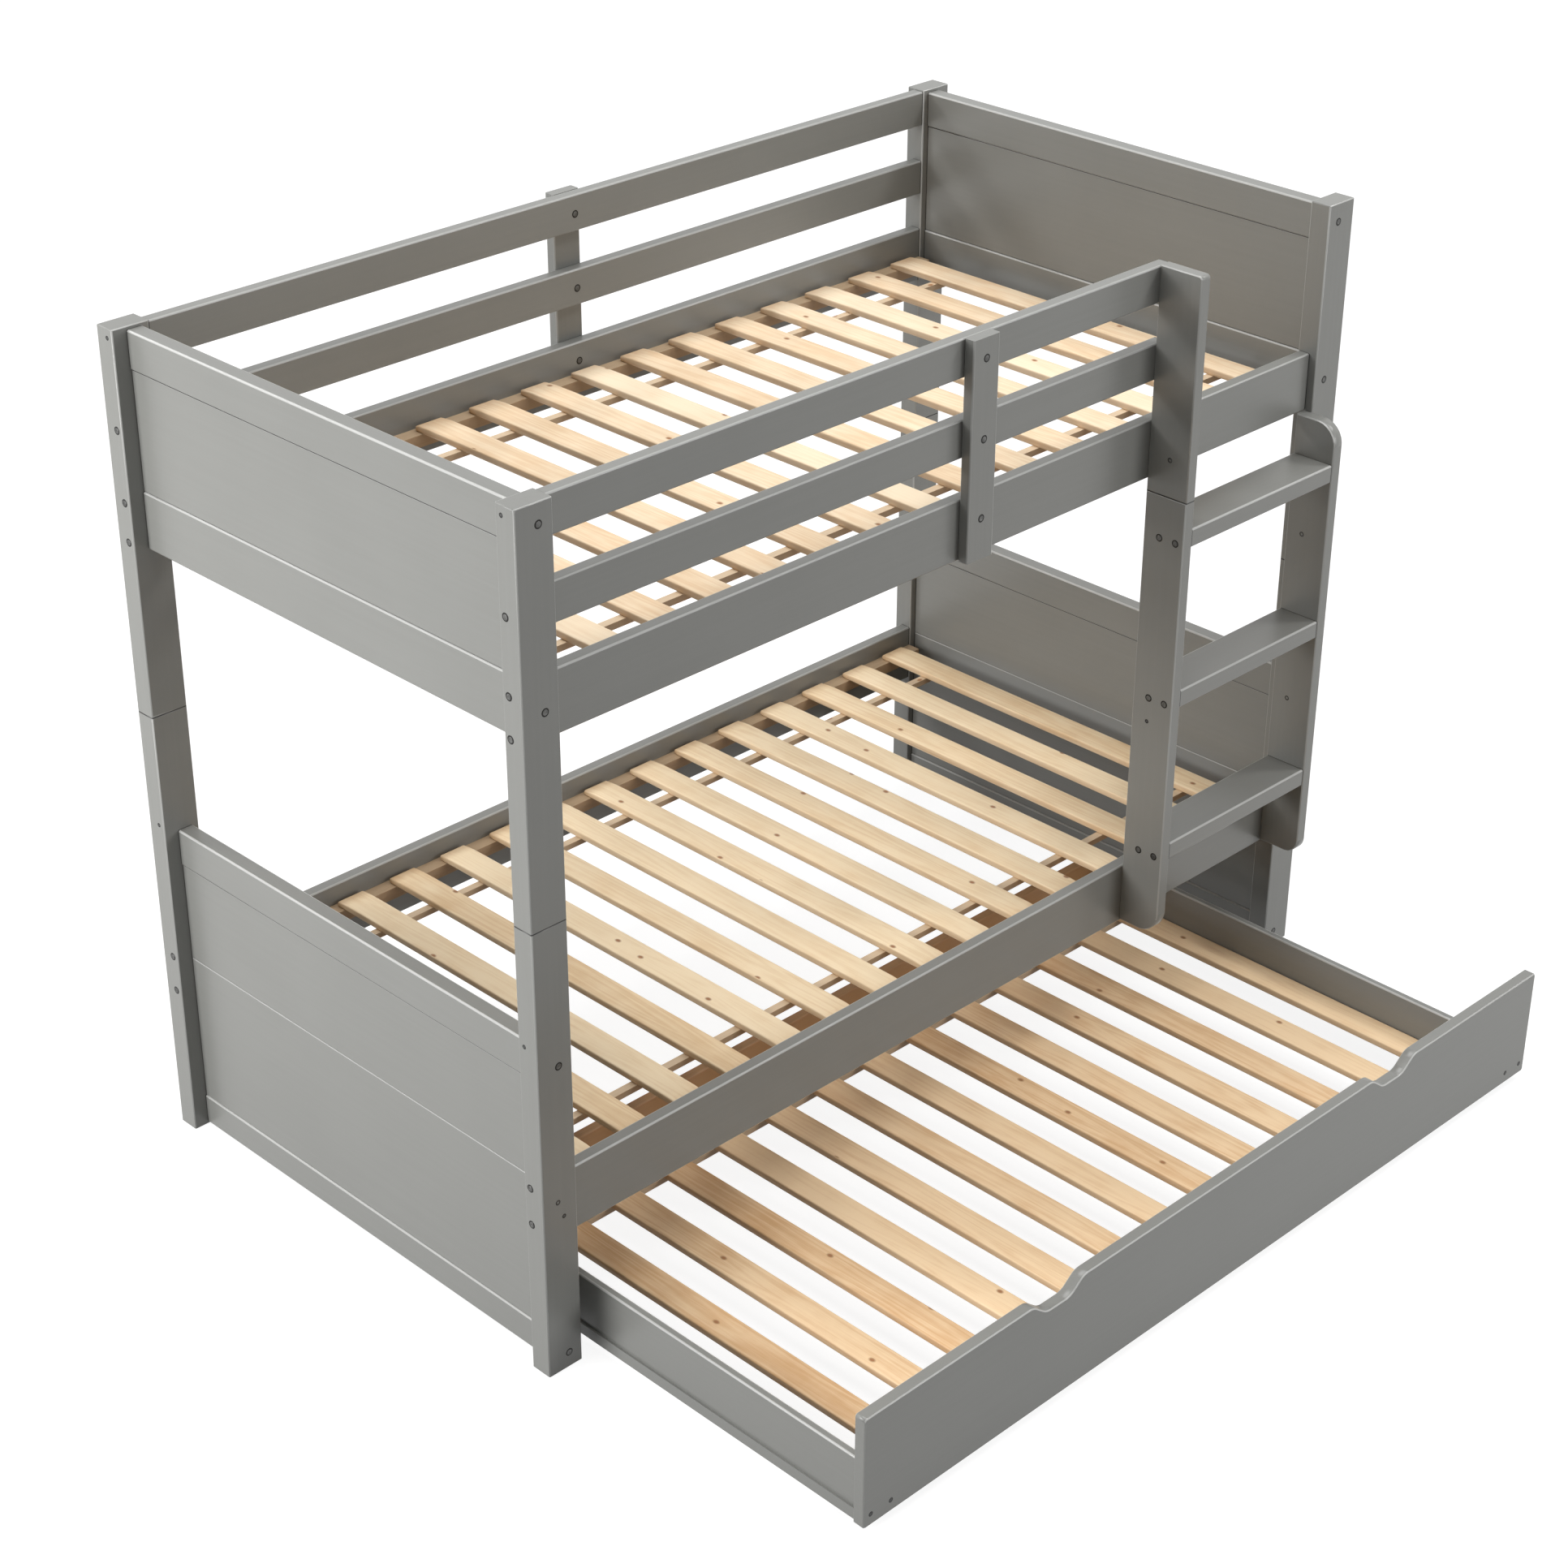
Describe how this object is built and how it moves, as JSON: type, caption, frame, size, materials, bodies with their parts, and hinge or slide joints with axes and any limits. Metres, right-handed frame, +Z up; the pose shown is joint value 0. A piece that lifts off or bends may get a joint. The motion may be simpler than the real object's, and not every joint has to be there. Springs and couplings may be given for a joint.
{
  "type": "bunk bed with trundle",
  "caption": "Wooden bunk bed in halves with panelled ends, guard boards, a fixed ladder and a low slatted trundle that rolls out at the front on small wheels.",
  "frame": {"origin": "on the floor, below the middle of the whole outline with the trundle pulled out", "axes": "+Z up, +X along the bed towards the ladder end, -Y towards the pulled-out trundle"},
  "size_m": [2.0312, 1.7072, 1.595],
  "materials": {
    "grey_paint": "satin paint on planed softwood",
    "pine": "planed, unpainted",
    "dark_pine": "planed, unpainted",
    "steel": "zinc plated",
    "wheel_plastic": "moulded"
  },
  "bodies": {
    "bed": {"upper_post_front_left": "grey_paint", "upper_post_front_right": "grey_paint", "upper_post_back_left": "grey_paint", "upper_post_back_right": "grey_paint", "lower_post_front_left": "grey_paint", "lower_post_front_right": "grey_paint", "lower_post_back_left": "grey_paint", "lower_post_back_right": "grey_paint", "dowel_pins": "steel", "upper_left_top_rail": "grey_paint", "upper_left_panel": "grey_paint", "upper_left_bottom_rail": "grey_paint", "lower_left_top_rail": "grey_paint", "lower_left_upper_panel": "grey_paint", "lower_left_lower_panel": "grey_paint", "lower_left_bottom_rail": "grey_paint", "upper_right_top_rail": "grey_paint", "upper_right_panel": "grey_paint", "upper_right_bottom_rail": "grey_paint", "lower_right_top_rail": "grey_paint", "lower_right_upper_panel": "grey_paint", "lower_right_lower_panel": "grey_paint", "lower_right_bottom_rail": "grey_paint", "upper_front_rail": "grey_paint", "lower_front_rail": "grey_paint", "front_top_guard": "grey_paint", "front_low_guard": "grey_paint", "front_guard_support": "grey_paint", "upper_back_rail": "grey_paint", "lower_back_rail": "grey_paint", "back_top_guard": "grey_paint", "back_low_guard": "grey_paint", "back_guard_support": "grey_paint", "guard_end_post": "grey_paint", "ladder_left_stile": "grey_paint", "ladder_right_stile": "grey_paint", "ladder_steps": "grey_paint", "upper_slats": "pine", "upper_slat_cleats": "dark_pine", "upper_slat_battens": "dark_pine", "lower_slats": "pine", "lower_slat_cleats": "dark_pine", "lower_slat_battens": "dark_pine", "bed_bolts": "steel"},
    "trundle": {"trundle_front_board": "grey_paint", "trundle_back_board": "grey_paint", "trundle_left_side": "grey_paint", "trundle_right_side": "grey_paint", "trundle_slats": "pine", "trundle_slat_cleats": "dark_pine", "trundle_slat_battens": "dark_pine", "wheel_brackets": "steel", "wheel_axles": "steel", "trundle_screws": "steel"},
    "wheel_front_left_body": {"wheel_front_left": "wheel_plastic"},
    "wheel_front_right_body": {"wheel_front_right": "wheel_plastic"},
    "wheel_back_left_body": {"wheel_back_left": "wheel_plastic"},
    "wheel_back_right_body": {"wheel_back_right": "wheel_plastic"}
  },
  "joints": [
    {"name": "trundle_slide", "type": "slide", "parent": "bed", "child": "trundle", "axis": [0, 1, 0], "range_m": [-0.33, 0.642]},
    {"name": "wheel_front_left_spin", "type": "hinge", "parent": "trundle", "child": "wheel_front_left_body", "pos_m": [-0.57337, -0.79885, 0.025], "axis": [1, 0, 0], "continuous": true},
    {"name": "wheel_front_right_spin", "type": "hinge", "parent": "trundle", "child": "wheel_front_right_body", "pos_m": [0.57937, -0.79885, 0.025], "axis": [1, 0, 0], "continuous": true},
    {"name": "wheel_back_left_spin", "type": "hinge", "parent": "trundle", "child": "wheel_back_left_body", "pos_m": [-0.57337, 0.09515, 0.025], "axis": [1, 0, 0], "continuous": true},
    {"name": "wheel_back_right_spin", "type": "hinge", "parent": "trundle", "child": "wheel_back_right_body", "pos_m": [0.57937, 0.09515, 0.025], "axis": [1, 0, 0], "continuous": true}
  ],
  "couplings": [
    {"joint": "wheel_front_left_spin", "follows": "trundle_slide", "rad_per_m": -40},
    {"joint": "wheel_front_right_spin", "follows": "trundle_slide", "rad_per_m": -40},
    {"joint": "wheel_back_left_spin", "follows": "trundle_slide", "rad_per_m": -40},
    {"joint": "wheel_back_right_spin", "follows": "trundle_slide", "rad_per_m": -40}
  ]
}
